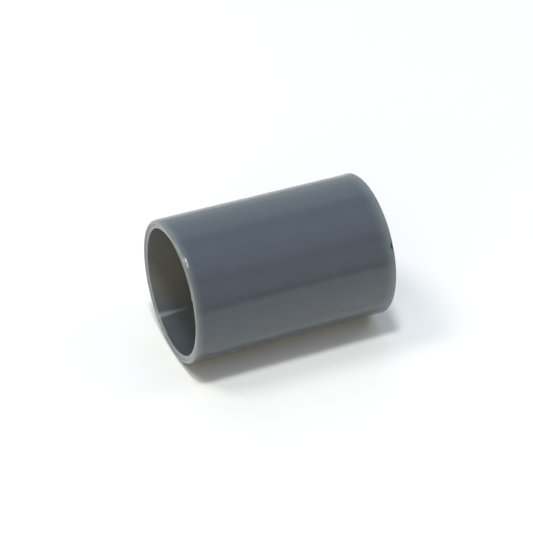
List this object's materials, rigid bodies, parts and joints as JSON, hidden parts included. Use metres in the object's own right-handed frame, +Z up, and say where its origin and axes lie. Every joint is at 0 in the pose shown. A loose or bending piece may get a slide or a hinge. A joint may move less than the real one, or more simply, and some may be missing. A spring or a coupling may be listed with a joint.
{
  "type": "push fit coupling",
  "caption": "Straight plastic push fit coupling for small overflow pipe: a plain thin-walled sleeve with a socket at each end and a stop ring between them.",
  "frame": {"origin": "centre of the sleeve: the point on its axis halfway through the stop ring", "axes": "+X along the sleeve's axis, out of the right socket; +Z up as the sleeve lies on its side; the left socket opens towards -X"},
  "size_m": [0.0362, 0.025, 0.025],
  "materials": {
    "grey_pvc_u": "moulded PVC-U, dark slate grey, satin with a low sheen"
  },
  "bodies": {
    "root": {"coupling_body": "grey_pvc_u"}
  },
  "joints": []
}
